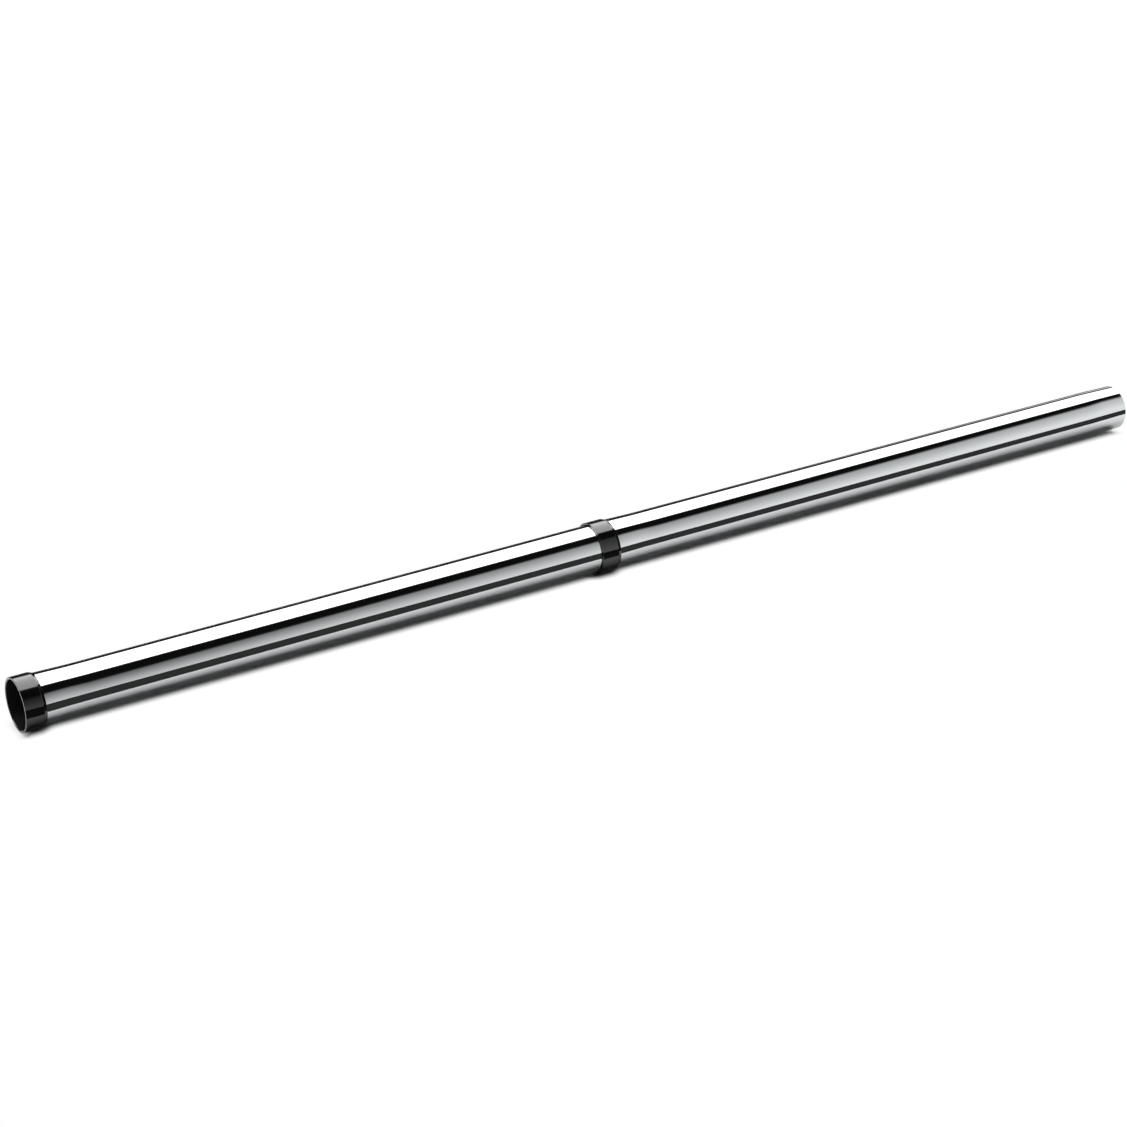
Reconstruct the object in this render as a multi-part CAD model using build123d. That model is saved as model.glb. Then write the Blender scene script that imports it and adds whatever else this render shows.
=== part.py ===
from build123d import *
import os

# A two-piece extension tube of a vacuum cleaner. Two equal steel tubes push together:
# the plug of the rear tube is a slim cone that wedges in the socket of the front tube.
# A plastic collar with an L-shaped section covers the cut edge of each socket.
# The tubes lie along X, with the sockets towards -X, and rest on the collars at z = 0.
# All sizes are in millimetres.

# Tube
tube_diameter = 35.0
tube_wall = 0.5
tube_length = 479.0

# Push-fit joint: a cylindrical mouth, then a cone, with the same cone on the plug
socket_land = 12.0
cone_length = 27.0
plug_clearance = 0.1
swage_radius = 200.0
tip_chamfer = 0.15

# Collar: a thin sleeve over the socket, with a lip in front of the tube's edge
collar_wall = 1.05
collar_length = 15.2
collar_lip = 1.0
collar_clearance = 0.05
collar_lead_in = 0.6
collar_front_chamfer = 0.4
collar_bevel_length = 2.2
collar_bevel_depth = 0.75

# Radii that follow from the sizes above
tube_radius = tube_diameter / 2
bore_radius = tube_radius - tube_wall
land_radius = tube_radius + plug_clearance
plug_tip_radius = bore_radius - plug_clearance
collar_seat_radius = land_radius + tube_wall + collar_clearance
collar_radius = collar_seat_radius + collar_wall

# Stations along X
socket_depth = socket_land + cone_length
tube_pitch = tube_length - socket_depth
overall_length = collar_lip + tube_pitch + tube_length
rear_tube_start = collar_lip - overall_length / 2
tube_starts = {"rear": rear_tube_start, "front": rear_tube_start + tube_pitch}


def round_corner(profile, x, r, radius):
    """Round the corner of a flat profile that lies nearest to (x, r)."""
    corner = min(profile.vertices(), key=lambda v: (v.X - x) ** 2 + (v.Y - r) ** 2)
    return fillet(corner, radius)


def turned(profile):
    """Turn a profile about X and lift its axis to the height at which the collars touch the floor."""
    return Pos(0, 0, collar_radius) * revolve(profile, Axis.X)


def make_tube():
    """One steel tube, with its socket edge at x = 0 and the tip of its plug at x = tube_length."""
    cone_start = tube_length - cone_length
    wall_bends = [(socket_land, land_radius), (socket_depth, bore_radius), (cone_start, bore_radius)]
    inside = [(0, land_radius), *wall_bends, (tube_length, plug_tip_radius - tube_wall)]
    outside = [(x, r + tube_wall) for x, r in inside]
    profile = make_face(Polyline(*outside, *reversed(inside), close=True))
    for x, r in wall_bends:
        profile = round_corner(profile, x, r, swage_radius)
        profile = round_corner(profile, x, r + tube_wall, swage_radius)
    tip_corners = profile.vertices().group_by(Axis.X)[-1]
    return turned(chamfer(tip_corners, tip_chamfer))


def make_collar():
    """The ring that is pressed over a socket, with its lip in front of the tube's edge at x = 0."""
    front = -collar_lip
    back = front + collar_length
    bevel_start = back - collar_bevel_length
    bevel_radius = collar_radius - collar_bevel_depth
    return turned(make_face(Polyline(
        (front + collar_lead_in, land_radius),
        (front, land_radius + collar_lead_in),
        (front, collar_radius - collar_front_chamfer),
        (front + collar_front_chamfer, collar_radius),
        (bevel_start, collar_radius),
        (back, bevel_radius),
        (back, collar_seat_radius),
        (0, collar_seat_radius),
        (0, land_radius),
        close=True,
    )))


def main():
    os.makedirs("parts", exist_ok=True)
    for place, start in tube_starts.items():
        export_step(Pos(start, 0, 0) * make_tube(), f"parts/{place}_tube.step")
        export_step(Pos(start, 0, 0) * make_collar(), f"parts/{place}_collar.step")
    print(f"overall length {overall_length:.1f} mm, plug depth {socket_depth:.1f} mm in the tube")


main()
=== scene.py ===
# %% [markdown]
# # A chromed suction tube with two black collars
# The real object is a pair of equal steel tubes that push together. The near end of each tube is a
# socket, and a plastic collar covers its sharp edge. The CAD model already has every size, so this
# lesson only adds what CAD leaves out: softly rounded edges, the mirror finish of the chrome, the gloss
# of the plastic, and a studio to reflect.

# %% Load the frame
import math

import bmesh
import bpy
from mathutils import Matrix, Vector


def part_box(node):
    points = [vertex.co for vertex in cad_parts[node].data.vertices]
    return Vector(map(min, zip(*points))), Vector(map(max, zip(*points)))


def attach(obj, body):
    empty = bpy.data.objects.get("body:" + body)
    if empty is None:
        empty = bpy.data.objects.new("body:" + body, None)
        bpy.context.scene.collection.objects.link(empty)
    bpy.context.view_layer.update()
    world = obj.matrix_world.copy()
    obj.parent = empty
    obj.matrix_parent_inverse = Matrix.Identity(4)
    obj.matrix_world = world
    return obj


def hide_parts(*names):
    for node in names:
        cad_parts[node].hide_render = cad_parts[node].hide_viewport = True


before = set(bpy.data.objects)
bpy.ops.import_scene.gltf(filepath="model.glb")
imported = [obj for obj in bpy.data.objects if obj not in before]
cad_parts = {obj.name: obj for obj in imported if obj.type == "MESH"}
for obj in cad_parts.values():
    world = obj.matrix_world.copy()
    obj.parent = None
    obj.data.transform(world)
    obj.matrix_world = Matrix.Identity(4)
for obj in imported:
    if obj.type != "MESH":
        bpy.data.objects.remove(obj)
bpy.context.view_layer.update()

# %% [markdown]
# Every piece of this object was turned on a lathe or could have been, so one drawing of half its
# section says it all. A section is a list of corners: the place along the tube, the distance from its
# axis, and the radius that rounds the corner. Real edges are never perfectly sharp. Even a radius of a
# tenth of a millimetre catches a thin line of light, and that line is what tells the eye that an edge
# is real. A Bevel modifier could round the edges too, but arcs in the drawing give each corner its own
# radius.

# %% A section with rounded corners
MM = 0.001
ARC_STEPS = 6


def rounded_section(corners):
    """Points of a closed section in metres, with an arc in place of each corner that has a radius."""
    points = []
    for i, (x, r, radius) in enumerate(corners):
        corner = Vector((x, r))
        before = (Vector(corners[i - 1][:2]) - corner).normalized()
        after = (Vector(corners[(i + 1) % len(corners)][:2]) - corner).normalized()
        if radius == 0:
            points.append(corner * MM)
            continue
        half_angle = before.angle(after) / 2
        centre = corner + (before + after).normalized() * (radius / math.sin(half_angle))
        first = corner + before * (radius / math.tan(half_angle)) - centre
        last = corner + after * (radius / math.tan(half_angle)) - centre
        start = math.atan2(first.y, first.x)
        sweep = math.remainder(math.atan2(last.y, last.x) - start, 2 * math.pi)
        for k in range(ARC_STEPS + 1):
            angle = start + sweep * k / ARC_STEPS
            points.append((centre + radius * Vector((math.cos(angle), math.sin(angle)))) * MM)
    return points


triangle = rounded_section([(0, 0, 1), (10, 0, 0), (0, 10, 0)])
print("a triangle with one rounded corner has", len(triangle), "points")

# %% [markdown]
# Blender's spin operator turns a section around an axis, just as a lathe does. The tube's axis lies as
# high above the floor as a collar's radius, which the CAD box gives. Where a long flat wall meets a
# small round, plain smooth shading would bend the reflections far into the wall. The Weighted Normal
# modifier lets the larger face set the direction, so walls stay straight and only the rounds turn the
# light.

# %% The lathe
SEGMENTS = 192
SHARP_ANGLE = math.radians(50)
AXIS_HEIGHT = sum(corner.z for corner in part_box("rear_collar")) / 2


def turn_on_lathe(name, section, start):
    """A mesh object from a section that is spun around the tube's axis and moved along it by start metres."""
    bm = bmesh.new()
    ring = [bm.verts.new((start + p.x, 0, AXIS_HEIGHT + p.y)) for p in section]
    edges = [bm.edges.new((ring[i - 1], ring[i])) for i in range(len(ring))]
    bmesh.ops.spin(
        bm, geom=ring + edges, cent=(0, 0, AXIS_HEIGHT), axis=(1, 0, 0),
        angle=2 * math.pi, steps=SEGMENTS, use_merge=True,
    )
    bmesh.ops.recalc_face_normals(bm, faces=bm.faces)
    mesh = bpy.data.meshes.new(name)
    bm.to_mesh(mesh)
    bm.free()
    mesh.shade_smooth()
    mesh.set_sharp_from_angle(angle=SHARP_ANGLE)
    piece = bpy.data.objects.new(name, mesh)
    bpy.context.scene.collection.objects.link(piece)
    normals = piece.modifiers.new("straight walls", "WEIGHTED_NORMAL")
    normals.keep_sharp = True
    print(name, "has", len(mesh.polygons), "faces")
    return piece


print("the axis lies", round(AXIS_HEIGHT / MM, 2), "mm above the floor")

# %% [markdown]
# The tube is drawn from its socket to the tip of its plug. The socket's mouth is a little wider than
# the tube, a slim cone leads down to the plain bore, and the same cone at the far end forms the plug.
# Steel that is swaged flows in a large radius, so the bends between wall and cone are arcs of 600 mm
# and only show as a soft shift of the reflections.

# %% Both tubes
TUBE_LENGTH = 479.0
TUBE_WALL = 0.5
BORE_RADIUS = 17.0
MOUTH_RADIUS = 17.6
TIP_BORE_RADIUS = 16.4
MOUTH_LENGTH = 12.0
CONE_LENGTH = 27.0
SWAGE_RADIUS = 600.0
TIP_ROUND = 0.2

inner_wall = [
    (0, MOUTH_RADIUS, 0),
    (MOUTH_LENGTH, MOUTH_RADIUS, SWAGE_RADIUS),
    (MOUTH_LENGTH + CONE_LENGTH, BORE_RADIUS, SWAGE_RADIUS),
    (TUBE_LENGTH - CONE_LENGTH, BORE_RADIUS, SWAGE_RADIUS),
    (TUBE_LENGTH, TIP_BORE_RADIUS, TIP_ROUND),
]
outer_wall = [(x, r + TUBE_WALL, radius) for x, r, radius in inner_wall]
tube_section = rounded_section(outer_wall + inner_wall[::-1])

tubes = {}
for place in ("rear", "front"):
    tube_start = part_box(f"{place}_tube")[0].x
    tubes[place] = turn_on_lathe(f"{place}_chrome_tube", tube_section, tube_start)
    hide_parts(f"{place}_tube")
    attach(tubes[place], f"{place}_section")

# %% [markdown]
# The collar is a moulded ring with an L-shaped section: a sleeve around the socket and a small lip in
# front of its edge. Its front edge is rounded for the hand, the inside of the lip has a lead-in for the
# plug, and the back edge is bevelled down towards the chrome. It goes on the same lathe as the tube.

# %% Both collars
COLLAR_RADIUS = 19.2
COLLAR_LENGTH = 15.2
LIP = 1.0
SEAT_RADIUS = 18.15
LEAD_IN = 0.4
LEAD_IN_ROUND = 0.15
FRONT_ROUND = 0.3
BEVEL_LENGTH = 2.2
BEVEL_DEPTH = 0.75
BEVEL_ROUND = 1.0
BACK_ROUND = 0.1

collar_section = rounded_section([
    (LEAD_IN, MOUTH_RADIUS, LEAD_IN_ROUND),
    (0, MOUTH_RADIUS + LEAD_IN, LEAD_IN_ROUND),
    (0, COLLAR_RADIUS, FRONT_ROUND),
    (COLLAR_LENGTH - BEVEL_LENGTH, COLLAR_RADIUS, BEVEL_ROUND),
    (COLLAR_LENGTH, COLLAR_RADIUS - BEVEL_DEPTH, BACK_ROUND),
    (COLLAR_LENGTH, SEAT_RADIUS, 0),
    (LIP, SEAT_RADIUS, 0),
    (LIP, MOUTH_RADIUS, 0),
])

collars = {}
for place in ("rear", "front"):
    collar_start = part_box(f"{place}_collar")[0].x
    collars[place] = turn_on_lathe(f"{place}_black_collar", collar_section, collar_start)
    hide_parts(f"{place}_collar")
    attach(collars[place], f"{place}_section")

# %% [markdown]
# No real surface has the same gloss all over. Hands and cloths leave faint streaks along a tube, and a
# fine grain stays from polishing or from the mould. Chrome and plastic both show this, at different
# strengths, so it is built once as a node group. First come the group's sockets and the two noises that
# it mixes. The streaks are a noise that is stretched along the tube.

# %% The surface marks group: grain and streaks
STREAK_STRETCH = (0.06, 1.0, 1.0)

marks = bpy.data.node_groups.new("surface_marks", "ShaderNodeTree")
for socket_name, default in (("Grain Scale", 900.0), ("Streak Scale", 120.0), ("Low", 0.05), ("High", 0.1)):
    socket = marks.interface.new_socket(socket_name, in_out="INPUT", socket_type="NodeSocketFloat")
    socket.default_value = default
for socket_name in ("Roughness", "Height", "Mask"):
    marks.interface.new_socket(socket_name, in_out="OUTPUT", socket_type="NodeSocketFloat")

group_in = marks.nodes.new("NodeGroupInput")
group_out = marks.nodes.new("NodeGroupOutput")
place_on_piece = marks.nodes.new("ShaderNodeTexCoord")

grain = marks.nodes.new("ShaderNodeTexNoise")
grain.inputs["Detail"].default_value = 3.0
marks.links.new(place_on_piece.outputs["Object"], grain.inputs["Vector"])
marks.links.new(group_in.outputs["Grain Scale"], grain.inputs["Scale"])

lengthwise = marks.nodes.new("ShaderNodeMapping")
lengthwise.inputs["Scale"].default_value = STREAK_STRETCH
marks.links.new(place_on_piece.outputs["Object"], lengthwise.inputs["Vector"])
streaks = marks.nodes.new("ShaderNodeTexNoise")
streaks.inputs["Detail"].default_value = 4.0
marks.links.new(lengthwise.outputs["Vector"], streaks.inputs["Vector"])
marks.links.new(group_in.outputs["Streak Scale"], streaks.inputs["Scale"])
print("surface_marks mixes", grain.name, "and", streaks.name)

# %% [markdown]
# The product of both noises is the height for a bump. Stretched to the full range it is a mask for
# tints, and the mask picks a roughness between the two limits that each finish sets.

# %% The surface marks group: what it gives
MASK_RANGE = (0.12, 0.4)

both = marks.nodes.new("ShaderNodeMath")
both.operation = "MULTIPLY"
marks.links.new(grain.outputs["Fac"], both.inputs[0])
marks.links.new(streaks.outputs["Fac"], both.inputs[1])
mask = marks.nodes.new("ShaderNodeMapRange")
mask.inputs["From Min"].default_value, mask.inputs["From Max"].default_value = MASK_RANGE
marks.links.new(both.outputs["Value"], mask.inputs["Value"])

gloss = marks.nodes.new("ShaderNodeMapRange")
marks.links.new(mask.outputs["Result"], gloss.inputs["Value"])
marks.links.new(group_in.outputs["Low"], gloss.inputs["To Min"])
marks.links.new(group_in.outputs["High"], gloss.inputs["To Max"])
marks.links.new(gloss.outputs["Result"], group_out.inputs["Roughness"])
marks.links.new(both.outputs["Value"], group_out.inputs["Height"])
marks.links.new(mask.outputs["Result"], group_out.inputs["Mask"])
print("surface_marks has", len(marks.nodes), "nodes")

# %% [markdown]
# Chrome plating is nearly a perfect mirror with a cold grey tint. Each finish is one Principled shader
# with the marks placed in front of it. What is the same all over the surface, such as Metallic on
# chrome, is set on the shader itself, and only what changes over the surface is linked.

# %% A finish with marks, and the chrome


def make_finish(name, tints, roughness, grain_scale, streak_scale, bump_height, settings):
    """A material whose tint, roughness and bump vary with the surface marks."""
    material = bpy.data.materials.new(name)
    material.use_nodes = True
    nodes = material.node_tree.nodes
    link = material.node_tree.links.new
    shader = nodes["Principled BSDF"]
    for socket_name, value in settings.items():
        shader.inputs[socket_name].default_value = value
    group = nodes.new("ShaderNodeGroup")
    group.node_tree = marks
    group.inputs["Grain Scale"].default_value = grain_scale
    group.inputs["Streak Scale"].default_value = streak_scale
    group.inputs["Low"].default_value, group.inputs["High"].default_value = roughness
    tint = nodes.new("ShaderNodeMix")
    tint.data_type = "RGBA"
    tint.inputs["A"].default_value = (*tints[0], 1)
    tint.inputs["B"].default_value = (*tints[1], 1)
    link(group.outputs["Mask"], tint.inputs["Factor"])
    link(tint.outputs["Result"], shader.inputs["Base Color"])
    link(group.outputs["Roughness"], shader.inputs["Roughness"])
    bump = nodes.new("ShaderNodeBump")
    bump.inputs["Strength"].default_value = 1.0
    bump.inputs["Distance"].default_value = bump_height
    link(group.outputs["Height"], bump.inputs["Height"])
    link(bump.outputs["Normal"], shader.inputs["Normal"])
    print("finish", name, "has a roughness of", roughness)
    return material


chrome = make_finish(
    "polished_chrome",
    tints=((0.85, 0.875, 0.885), (0.82, 0.845, 0.855)),
    roughness=(0.04, 0.07),
    grain_scale=700.0,
    streak_scale=90.0,
    bump_height=0.0000004,
    settings={"Metallic": 1.0},
)

# %% [markdown]
# The bore is not plated: it is bare steel and duller than the chrome. Its colour is painted far darker than
# bare steel, as painted shade that keeps the mouth of the tube dark. The collars are a black plastic with a
# smooth, glossy skin. A face of a tube belongs to the bore where its normal points towards the axis.

# %% Bare steel with painted shade, and black plastic
# The bore's dark tints are painted shade. Bare steel is far lighter, and this dark colour stands in for the
# shade inside the mouth.
bore_steel_painted_shade = make_finish(
    "bore_steel_with_painted_shade",
    tints=((0.07, 0.07, 0.07), (0.045, 0.045, 0.047)),
    roughness=(0.4, 0.55),
    grain_scale=500.0,
    streak_scale=60.0,
    bump_height=0.000003,
    settings={"Metallic": 1.0},
)
black_plastic = make_finish(
    "glossy_black_plastic",
    tints=((0.004, 0.004, 0.0044), (0.007, 0.007, 0.0075)),
    roughness=(0.08, 0.14),
    grain_scale=1500.0,
    streak_scale=200.0,
    bump_height=0.000002,
    settings={"IOR": 1.5, "Coat Weight": 1.0, "Coat Roughness": 0.05},
)

for tube in tubes.values():
    tube.data.materials.append(chrome)
    tube.data.materials.append(bore_steel_painted_shade)
    for face in tube.data.polygons:
        outward = Vector((0, face.center.y, face.center.z - AXIS_HEIGHT))
        if face.normal.dot(outward) < 0:
            face.material_index = 1
for collar in collars.values():
    collar.data.materials.append(black_plastic)

# %% [markdown]
# Chrome has no colour of its own to show, so it is drawn by what stands around it. Lamps and panels
# could be set up one by one, but here the world itself is the studio: it works out a tone from the way
# a ray leaves. Both halves of the studio are alike, so the sign of x is dropped first.

# %% Which way a ray leaves


def math_node(tree, operation, *terms):
    """The result of a math node. Each term is an output socket or a number."""
    node = tree.nodes.new("ShaderNodeMath")
    node.operation = operation
    for socket, term in zip(node.inputs, terms):
        if isinstance(term, (int, float)):
            socket.default_value = term
        else:
            tree.links.new(term, socket)
    return node.outputs["Value"]


world = bpy.data.worlds.new("studio")
bpy.context.scene.world = world
world.use_nodes = True
studio = world.node_tree
studio.nodes.clear()

direction = studio.nodes.new("ShaderNodeTexCoord")
parts = studio.nodes.new("ShaderNodeSeparateXYZ")
studio.links.new(direction.outputs["Generated"], parts.inputs["Vector"])
endwards = math_node(studio, "ABSOLUTE", parts.outputs["X"])
upwards = parts.outputs["Z"]
folded = studio.nodes.new("ShaderNodeCombineXYZ")
studio.links.new(endwards, folded.inputs["X"])
studio.links.new(parts.outputs["Y"], folded.inputs["Y"])
studio.links.new(upwards, folded.inputs["Z"])
way_out = folded.outputs["Vector"]
print("a ray's way takes", len(studio.nodes), "nodes")

# %% [markdown]
# A bright wall leans over the tube from behind. Its edge is a plane through the tube, so a dot product
# with the plane's normal tells on which side a ray leaves, and a step with a soft edge turns that into
# a wall. The wall is dimmer in its middle, so that the back of the tube still stands off from a white
# floor.

# %% The bright back wall
SOFTBOX_BRIGHTNESS = 3.2
MIDDLE_BRIGHTNESS = 0.7
BACK_WALL_NORMAL = (-0.397, 0.878, 0.268)
BACK_WALL_EDGE = (0.0, 0.1)
BACK_WALL_BASE = (0.27, 0.50)
BACK_WALL_ENDS = (0.86, 0.96)
BACK_WALL_MIDDLE = (0.18, 0.26)


def soft_step(tree, value, low, high):
    """0 below low and 1 above high, with a soft edge between them."""
    node = tree.nodes.new("ShaderNodeMapRange")
    node.interpolation_type = "SMOOTHSTEP"
    node.inputs["From Min"].default_value = low
    node.inputs["From Max"].default_value = high
    tree.links.new(value, node.inputs["Value"])
    return node.outputs["Result"]


def dot_with(tree, vector, fixed):
    """The dot product of a vector socket with a fixed vector."""
    node = tree.nodes.new("ShaderNodeVectorMath")
    node.operation = "DOT_PRODUCT"
    node.inputs[1].default_value = fixed
    tree.links.new(vector, node.inputs[0])
    return node.outputs["Value"]


back_side = soft_step(studio, dot_with(studio, way_out, BACK_WALL_NORMAL), *BACK_WALL_EDGE)
back_base = soft_step(studio, upwards, *BACK_WALL_BASE)
back_end = math_node(studio, "SUBTRACT", 1.0, soft_step(studio, endwards, *BACK_WALL_ENDS))
back_wall = math_node(studio, "MULTIPLY", math_node(studio, "MULTIPLY", back_side, back_base), back_end)
off_middle = soft_step(studio, endwards, *BACK_WALL_MIDDLE)
back_light = math_node(
    studio, "MULTIPLY_ADD", off_middle, SOFTBOX_BRIGHTNESS - MIDDLE_BRIGHTNESS, MIDDLE_BRIGHTNESS)
back_tone = math_node(studio, "MULTIPLY", back_wall, back_light)
print("with the back wall the studio has", len(studio.nodes), "nodes")

# %% [markdown]
# In front stands a grey wall that brightens towards the floor and towards the ends. It gives the wide
# grey band along the side of the tube. Between both walls the ceiling stays dark, which gives the black
# band.

# %% The grey front wall
FRONT_WALL_NORMAL = (0.635, -0.381, -0.672)
FRONT_WALL_EDGE = (-0.06, 0.06)
FRONT_WALL_ENDS = (0.66, 0.80)
FRONT_WALL_SLOPE = (1.4, 0.0, -0.7)
FRONT_WALL_LEVEL = 0.164
FRONT_WALL_LEAST = 0.03
FRONT_WALL_MOST = 0.85

front_side = soft_step(studio, dot_with(studio, way_out, FRONT_WALL_NORMAL), *FRONT_WALL_EDGE)
front_end = math_node(studio, "SUBTRACT", 1.0, soft_step(studio, endwards, *FRONT_WALL_ENDS))
front_wall = math_node(studio, "MULTIPLY", front_side, front_end)
front_rise = math_node(studio, "ADD", dot_with(studio, way_out, FRONT_WALL_SLOPE), FRONT_WALL_LEVEL)
front_dim = math_node(studio, "MAXIMUM", front_rise, FRONT_WALL_LEAST)
front_grey = math_node(studio, "MINIMUM", front_dim, FRONT_WALL_MOST)
front_tone = math_node(studio, "MULTIPLY", front_wall, front_grey)
print("with the front wall the studio has", len(studio.nodes), "nodes")

# %% [markdown]
# Straight past the ends hangs a soft grey that brightens upwards, because a tube that is seen from its
# end mirrors nothing else. All the tones add up, on top of the faint tone of the ceiling.

# %% The ends and the ceiling
END_WALL_START = (0.90, 0.96)
END_WALL_RISE = 2.0
END_WALL_LEVEL = 0.1
CEILING_TONE = 0.004

end_rise = math_node(studio, "MULTIPLY_ADD", upwards, END_WALL_RISE, END_WALL_LEVEL)
end_wall = soft_step(studio, endwards, *END_WALL_START)
end_tone = math_node(studio, "MULTIPLY", end_wall, math_node(studio, "MAXIMUM", end_rise, 0.0))
side_tone = math_node(studio, "ADD", back_tone, front_tone)
mirror_tone = math_node(studio, "ADD", math_node(studio, "ADD", side_tone, end_tone), CEILING_TONE)
print("with its ends the studio has", len(studio.nodes), "nodes")

# %% [markdown]
# Which ray sees what is up to the Light Path node. Mirror rays see the walls, the camera sees plain
# white, and the light that the floor gets is an even fill. A mirror ray that starts from the floor gets
# the fill too, because the chrome would otherwise throw bright streaks into its own shadow.

# %% Who sees the walls
FILL = 0.05


def backdrop(strength):
    """A white background shader with a strength that is a socket or a number."""
    node = studio.nodes.new("ShaderNodeBackground")
    node.inputs["Color"].default_value = (1, 1, 1, 1)
    if isinstance(strength, (int, float)):
        node.inputs["Strength"].default_value = strength
    else:
        studio.links.new(strength, node.inputs["Strength"])
    return node.outputs["Background"]


def choose(tree, factor, first, second):
    """The first shader where the factor is 0 and the second where it is 1."""
    node = tree.nodes.new("ShaderNodeMixShader")
    tree.links.new(factor, node.inputs[0])
    tree.links.new(first, node.inputs[1])
    tree.links.new(second, node.inputs[2])
    return node.outputs["Shader"]


world_rays = studio.nodes.new("ShaderNodeLightPath").outputs
from_object = math_node(studio, "LESS_THAN", world_rays["Diffuse Depth"], 0.5)
mirror_ray = math_node(studio, "MULTIPLY", world_rays["Is Glossy Ray"], from_object)
seen_through = math_node(studio, "MAXIMUM", world_rays["Is Camera Ray"], world_rays["Is Transmission Ray"])
fill_or_walls = choose(studio, mirror_ray, backdrop(FILL), backdrop(mirror_tone))
world_out = studio.nodes.new("ShaderNodeOutputWorld")
studio.links.new(choose(studio, seen_through, fill_or_walls, backdrop(1.0)), world_out.inputs["Surface"])
print("the whole studio takes", len(studio.nodes), "nodes")

# %% [markdown]
# One softbox hangs behind and above the tube and lights the floor. Mirror rays already see the bright
# wall in its place, with the same brightness, so they pass it by. A lamp's brightness is its power over
# its area, so the power follows from the size.

# %% The softbox
SOFTBOX_LENGTH = 3.0
SOFTBOX_WIDTH = 2.0
SOFTBOX_DISTANCE = 1.6
SOFTBOX_ANGLE = math.radians(35)

softbox = bpy.data.lights.new("softbox", "AREA")
softbox.shape = "RECTANGLE"
softbox.size = SOFTBOX_LENGTH
softbox.size_y = SOFTBOX_WIDTH
softbox.energy = SOFTBOX_BRIGHTNESS * math.pi * SOFTBOX_LENGTH * SOFTBOX_WIDTH
lamp = bpy.data.objects.new("softbox", softbox)
lamp.location = (0, SOFTBOX_DISTANCE * math.sin(SOFTBOX_ANGLE), SOFTBOX_DISTANCE * math.cos(SOFTBOX_ANGLE))
lamp.rotation_euler = (-SOFTBOX_ANGLE, 0, 0)
lamp.visible_camera = False
lamp.visible_glossy = False
bpy.context.scene.collection.objects.link(lamp)
print("softbox at", [round(v, 2) for v in lamp.location], "with", round(softbox.energy, 1), "W")

# %% [markdown]
# The floor is a pale board, a large sheet just below the collars. It has two shaders to choose from:
# the board that takes light and shadow, and a plain white glow.

# %% The floor
FLOOR_SIDE = 40.0
FLOOR_HEIGHT = -0.0001
BOARD_COLOUR = (0.85, 0.85, 0.85, 1)


def flat_sheet(name, corners, height):
    """A level sheet that is linked to the scene and attached to no body."""
    mesh = bpy.data.meshes.new(name)
    mesh.from_pydata([(x, y, height) for x, y in corners], [], [(0, 1, 2, 3)])
    sheet = bpy.data.objects.new(name, mesh)
    bpy.context.scene.collection.objects.link(sheet)
    return sheet


half = FLOOR_SIDE / 2
floor = flat_sheet("floor", [(-half, -half), (half, -half), (half, half), (-half, half)], FLOOR_HEIGHT)
board = bpy.data.materials.new("pale_board")
board.use_nodes = True
floor.data.materials.append(board)
table = board.node_tree
table.nodes.clear()
lit_board = table.nodes.new("ShaderNodeBsdfDiffuse")
lit_board.inputs["Color"].default_value = BOARD_COLOUR
white_glow = table.nodes.new("ShaderNodeEmission")
print("the floor is", FLOOR_SIDE, "m wide")

# %% [markdown]
# Only the shadow close under the tube is to stay, in a strip of a finger's breadth that is a little
# wider below a collar. The strip is measured from each tube's own axes by the Texture Coordinate node,
# which can look from another object. So it follows a section that is pulled out, and both strips
# overlap at the joint.

# %% The strip with the shadow
SHADOW_FADES = (0.003, 0.0125)
SHADOW_ENDS = (-0.007, 0.007)
JOINT_OVERLAP = 0.03
COLLAR_SHADOW = 0.0035
BESIDE_COLLAR = (0.004, 0.016)


def span_along(piece):
    """The two ends of a piece along X."""
    places = [corner[0] for corner in piece.bound_box]
    return min(places), max(places)


def distance_from_middle(spot, start, end):
    """How far a spot on the floor is along X from the middle between two places."""
    return math_node(table, "ABSOLUTE", math_node(table, "SUBTRACT", spot.outputs["X"], (start + end) / 2))


outside = []
for place, overlaps in (("rear", (0, JOINT_OVERLAP)), ("front", (-JOINT_OVERLAP, 0))):
    seen_from_tube = table.nodes.new("ShaderNodeTexCoord")
    seen_from_tube.object = tubes[place]
    spot = table.nodes.new("ShaderNodeSeparateXYZ")
    table.links.new(seen_from_tube.outputs["Object"], spot.inputs["Vector"])
    off_axis = math_node(table, "ABSOLUTE", spot.outputs["Y"])
    from_collar = distance_from_middle(spot, *span_along(collars[place]))
    near_collar = math_node(table, "SUBTRACT", 1.0, soft_step(table, from_collar, *BESIDE_COLLAR))
    wider = math_node(table, "MULTIPLY", near_collar, COLLAR_SHADOW)
    off_side = soft_step(table, math_node(table, "SUBTRACT", off_axis, wider), *SHADOW_FADES)
    start, end = (edge + overlap for edge, overlap in zip(span_along(tubes[place]), overlaps))
    strip_ends = [(end - start) / 2 + reach for reach in SHADOW_ENDS]
    past_end = soft_step(table, distance_from_middle(spot, start, end), *strip_ends)
    outside.append(math_node(table, "MAXIMUM", off_side, past_end))
    print(place, "strip from", round(start, 3), "to", round(end, 3), "m")

# %% [markdown]
# To the camera the board turns into plain white outside the strips, as on a light table. Far off,
# mirror rays see that white too.

# %% Who sees the white
FAR_OFF = (0.5, 3.0)

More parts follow.
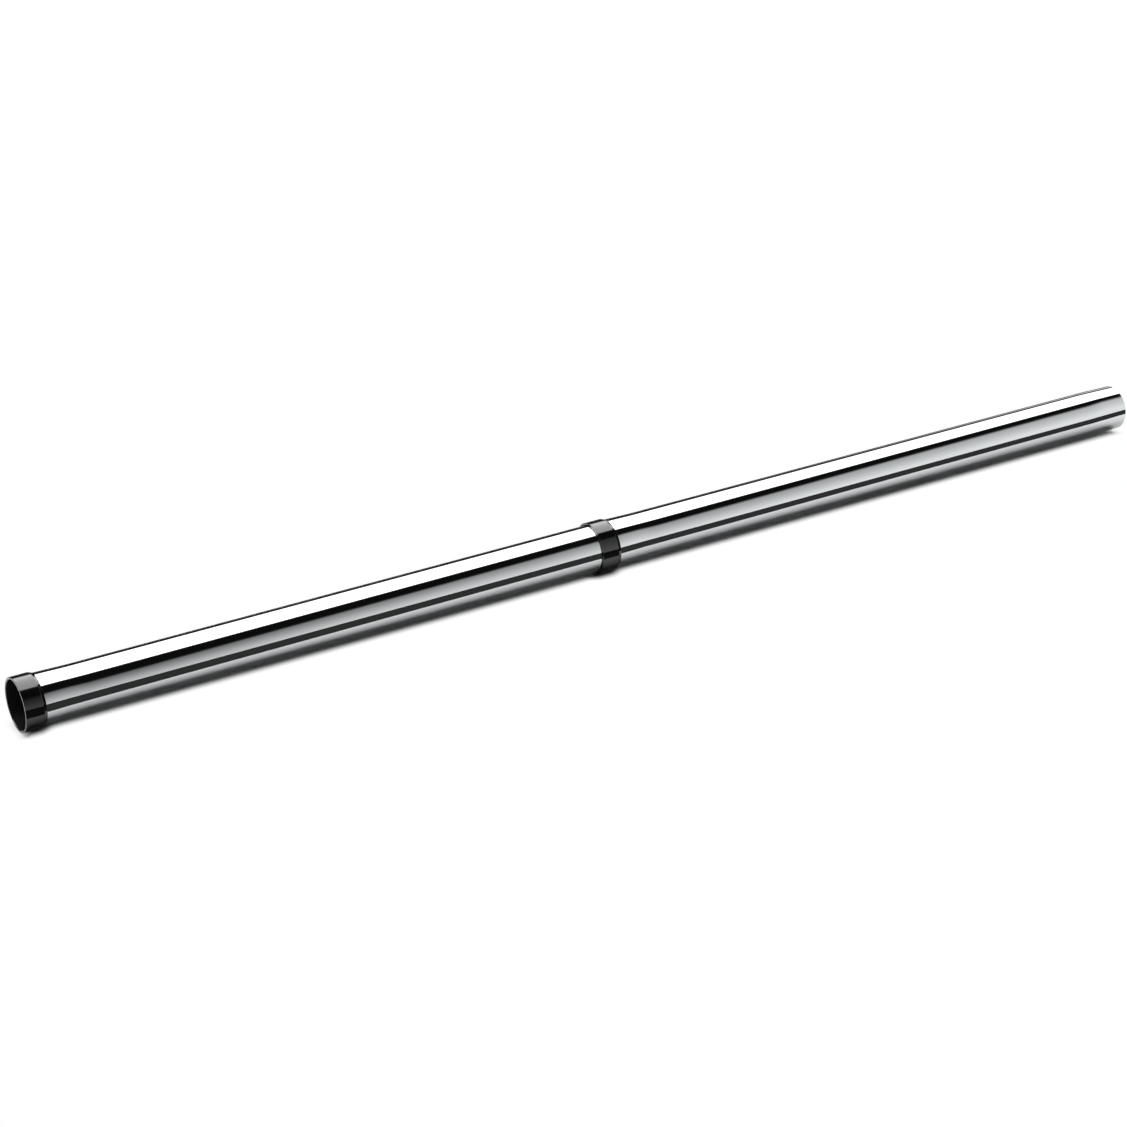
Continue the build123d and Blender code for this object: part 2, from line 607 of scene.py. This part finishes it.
floor_rays = table.nodes.new("ShaderNodeLightPath").outputs
camera_glow = math_node(
    table, "MULTIPLY", math_node(table, "MINIMUM", *outside), floor_rays["Is Camera Ray"])
mirror_or_glass = math_node(table, "MAXIMUM", floor_rays["Is Glossy Ray"], floor_rays["Is Transmission Ray"])
mirror_glow = math_node(table, "MULTIPLY", soft_step(table, off_axis, *FAR_OFF), mirror_or_glass)
glow = math_node(table, "MAXIMUM", camera_glow, mirror_glow)
board_or_glow = choose(table, glow, lit_board.outputs["BSDF"], white_glow.outputs["Emission"])
board_out = table.nodes.new("ShaderNodeOutputMaterial")
table.links.new(board_or_glow, board_out.inputs["Surface"])
print("the floor takes", len(table.nodes), "nodes")

# %% [markdown]
# Photographers lay dark cards beside chrome to draw its edges. Two cards lie on the floor, one on each
# side, and only mirror rays see them. They give the dark stripe below the middle of the tube and the
# fine line along its top edge. The front card lies a little askew, so its stripe runs slightly off the
# tube's line.

# %% The dark cards
CARD_REACH = 3.0
CARD_HEIGHT = 0.0002
CARD_COLOUR = (0.03, 0.03, 0.03, 1)
FRONT_CARD_EDGE = -0.0506
FRONT_CARD_ASKEW = -0.0164
BACK_CARD_EDGE = 0.095

dark_card = bpy.data.materials.new("dark_card")
dark_card.use_nodes = True
card_shader = dark_card.node_tree.nodes["Principled BSDF"]
card_shader.inputs["Base Color"].default_value = CARD_COLOUR
card_shader.inputs["Roughness"].default_value = 1.0
card_shader.inputs["Specular IOR Level"].default_value = 0.0
for name, edge, askew, far_side in (
    ("front_card", FRONT_CARD_EDGE, FRONT_CARD_ASKEW, -CARD_REACH),
    ("back_card", BACK_CARD_EDGE, 0.0, CARD_REACH),
):
    card = flat_sheet(name, [
        (-CARD_REACH, edge - askew * CARD_REACH), (CARD_REACH, edge + askew * CARD_REACH),
        (CARD_REACH, far_side), (-CARD_REACH, far_side),
    ], CARD_HEIGHT)
    card.visible_camera = False
    card.visible_diffuse = False
    card.visible_shadow = False
    card.visible_transmission = False
    card.data.materials.append(dark_card)
    print(name, "starts", round(edge / MM, 1), "mm from the axis")

# %% [markdown]
# The camera was found by fitting a pinhole camera to the edges of the tubes, the collars and the three
# end ellipses. It looks from the socket's side, about 30 degrees off square and 28 degrees down,
# through a long lens.

# %% The camera
TARGET = Vector((-0.04234, 0, AXIS_HEIGHT))
AZIMUTH = math.radians(-30.18)
ELEVATION = math.radians(27.88)
DISTANCE = 2.2085
FOCAL_PIXELS = 3070.75
TARGET_ABOVE_MIDDLE = 7.27
PICTURE_PIXELS = 1127
SENSOR = 36.0

towards_camera = Vector((
    math.sin(AZIMUTH) * math.cos(ELEVATION),
    -math.cos(AZIMUTH) * math.cos(ELEVATION),
    math.sin(ELEVATION),
))
lens = bpy.data.cameras.new("camera")
lens.sensor_width = SENSOR
lens.lens = FOCAL_PIXELS / PICTURE_PIXELS * SENSOR
lens.shift_y = -TARGET_ABOVE_MIDDLE / PICTURE_PIXELS
camera = bpy.data.objects.new("camera", lens)
camera.location = TARGET + DISTANCE * towards_camera
camera.rotation_euler = towards_camera.to_track_quat("Z", "Y").to_euler()
bpy.context.scene.collection.objects.link(camera)
bpy.context.scene.camera = camera
bpy.context.scene.view_settings.view_transform = "Standard"
print("lens of", round(lens.lens, 1), "mm at", [round(v, 3) for v in camera.location])
